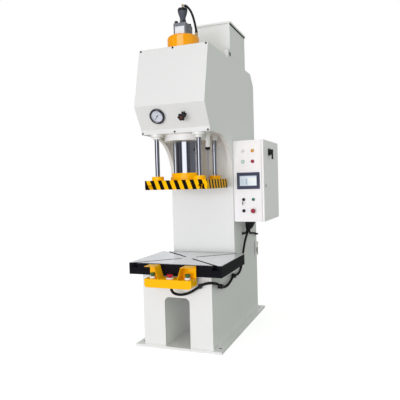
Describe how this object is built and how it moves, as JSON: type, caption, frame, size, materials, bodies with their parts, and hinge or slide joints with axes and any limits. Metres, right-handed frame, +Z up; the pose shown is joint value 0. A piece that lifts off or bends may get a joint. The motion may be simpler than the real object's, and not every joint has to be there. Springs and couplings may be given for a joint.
{
  "type": "single column hydraulic press",
  "caption": "C-frame single column hydraulic press with a guided striped platen, T-slotted work table, two-hand control station and a side control cabinet, for pressing and straightening.",
  "frame": {"origin": "centre of the four anchor holes, on the floor face of the base plate", "axes": "+X to the operator's right, +Y from the operator to the rear, +Z up"},
  "size_m": [0.9675, 1.525, 2.701],
  "materials": {
    "press_white": "gloss enamel",
    "cabinet_white": "powder coat",
    "safety_yellow": "gloss enamel",
    "ground_iron": "ground top, black sides",
    "chrome": "polished",
    "bright_steel": "brushed",
    "dark_iron": "dark paint",
    "black_rubber": "matte",
    "black_plastic": "fine grain",
    "screen_slate": "satin bezel, pale screen",
    "green_plastic": "gloss",
    "red_plastic": "gloss",
    "lamp_plastic": "translucent",
    "gauge_glass": "clear",
    "gear_grey": "moulded",
    "motor_grey": "paint"
  },
  "bodies": {
    "frame": {"base_plate": "press_white", "left_side_plate": "press_white", "right_side_plate": "press_white", "pedestal_front_plate": "press_white", "pedestal_top_plate": "press_white", "throat_plate": "press_white", "head_bottom_plate": "press_white", "head_top_plate": "press_white", "rear_plate": "press_white", "tank_bulkheads": "press_white", "front_cover": "press_white", "cylinder_barrel": "press_white", "cylinder_flange": "press_white", "guide_bushes": "press_white", "stroke_guide": "press_white", "hood_shell": "press_white", "hood_lid": "press_white", "cabinet_box": "cabinet_white", "hinge_pins": "cabinet_white", "cylinder_cap": "safety_yellow", "station_tray": "safety_yellow", "work_table": "ground_iron", "cover_screws": "bright_steel", "hose_fittings": "bright_steel", "valve_block": "dark_iron", "valve_bonnet": "dark_iron", "gauge_case": "dark_iron", "valve_hose": "black_rubber", "conduits": "black_rubber", "cable_boot": "black_rubber", "stroke_wiper": "black_rubber", "knob_lock_ring": "black_plastic", "button_bezels": "black_plastic", "level_gauge": "black_plastic", "conduit_fittings": "black_plastic", "touch_panel": "screen_slate", "pilot_lamps": "lamp_plastic", "gauge_glass": "gauge_glass", "switchgear": "gear_grey", "power_unit": "motor_grey"},
    "ram": {"ram": "chrome", "platen": "safety_yellow", "platen_collars": "safety_yellow", "guide_rods": "chrome", "stroke_rod": "chrome"},
    "gauge_needle": {"gauge_needle": "black_plastic"},
    "pressure_knob": {"pressure_knob": "black_plastic"},
    "start_button": {"start_button": "green_plastic"},
    "stop_button": {"stop_button": "red_plastic"},
    "reset_button": {"reset_button": "green_plastic"},
    "key_switch": {"key_switch": "bright_steel"},
    "selector_switch": {"selector_switch": "black_plastic"},
    "cabinet_estop": {"cabinet_estop": "red_plastic"},
    "left_palm_button": {"left_palm_button": "green_plastic"},
    "right_palm_button": {"right_palm_button": "green_plastic"},
    "station_estop": {"station_estop": "red_plastic"},
    "door": {"cabinet_door": "cabinet_white", "main_switch_base": "black_plastic"},
    "main_switch_handle": {"main_switch_handle": "black_plastic"},
    "door_lock": {"door_lock": "bright_steel"}
  },
  "joints": [
    {"name": "press_stroke", "type": "slide", "parent": "frame", "child": "ram", "axis": [0, 0, 1], "range_m": [-0.27, 0.18]},
    {"name": "cabinet_door_hinge", "type": "hinge", "parent": "frame", "child": "door", "pos_m": [0.531, 0.54, 1.274], "axis": [0, 0, 1], "range_deg": [0, 110]},
    {"name": "main_switch_turn", "type": "hinge", "parent": "door", "child": "main_switch_handle", "pos_m": [0.549, 0.1525, 1.521], "axis": [1, 0, 0], "range_deg": [0, 90]},
    {"name": "door_lock_turn", "type": "hinge", "parent": "door", "child": "door_lock", "pos_m": [0.549, 0.0095, 1.232], "axis": [1, 0, 0], "range_deg": [0, 90]},
    {"name": "start_button_press", "type": "slide", "parent": "frame", "child": "start_button", "axis": [0, 1, 0], "range_m": [0, 0.004], "stiffness_N_per_m": 600, "springref_m": -0.003},
    {"name": "stop_button_press", "type": "slide", "parent": "frame", "child": "stop_button", "axis": [0, 1, 0], "range_m": [0, 0.004], "stiffness_N_per_m": 600, "springref_m": -0.003},
    {"name": "reset_button_press", "type": "slide", "parent": "frame", "child": "reset_button", "axis": [0, 1, 0], "range_m": [0, 0.004], "stiffness_N_per_m": 600, "springref_m": -0.003},
    {"name": "cabinet_estop_press", "type": "slide", "parent": "frame", "child": "cabinet_estop", "axis": [0, 1, 0], "range_m": [0, 0.005], "stiffness_N_per_m": 900, "springref_m": -0.003},
    {"name": "key_switch_turn", "type": "hinge", "parent": "frame", "child": "key_switch", "pos_m": [0.37, -0.0515, 1.118], "axis": [0, 1, 0], "range_deg": [0, 90]},
    {"name": "selector_switch_turn", "type": "hinge", "parent": "frame", "child": "selector_switch", "pos_m": [0.37, -0.0515, 1.022], "axis": [0, 1, 0], "range_deg": [-45, 45]},
    {"name": "left_palm_button_press", "type": "slide", "parent": "frame", "child": "left_palm_button", "axis": [0, 0, -1], "range_m": [0, 0.006], "stiffness_N_per_m": 1200, "springref_m": -0.003},
    {"name": "right_palm_button_press", "type": "slide", "parent": "frame", "child": "right_palm_button", "axis": [0, 0, -1], "range_m": [0, 0.006], "stiffness_N_per_m": 1200, "springref_m": -0.003},
    {"name": "station_estop_press", "type": "slide", "parent": "frame", "child": "station_estop", "axis": [0, 0, -1], "range_m": [0, 0.006], "stiffness_N_per_m": 1200, "springref_m": -0.003},
    {"name": "pressure_knob_turn", "type": "hinge", "parent": "frame", "child": "pressure_knob", "pos_m": [0.105, -0.68094, 1.78645], "axis": [0, -0.8553, -0.5182], "range_deg": [-360, 360]},
    {"name": "gauge_needle_swing", "type": "hinge", "parent": "frame", "child": "gauge_needle", "pos_m": [-0.111, -0.68094, 1.78645], "axis": [0, 0.8553, 0.5182], "range_deg": [0, 270]}
  ]
}
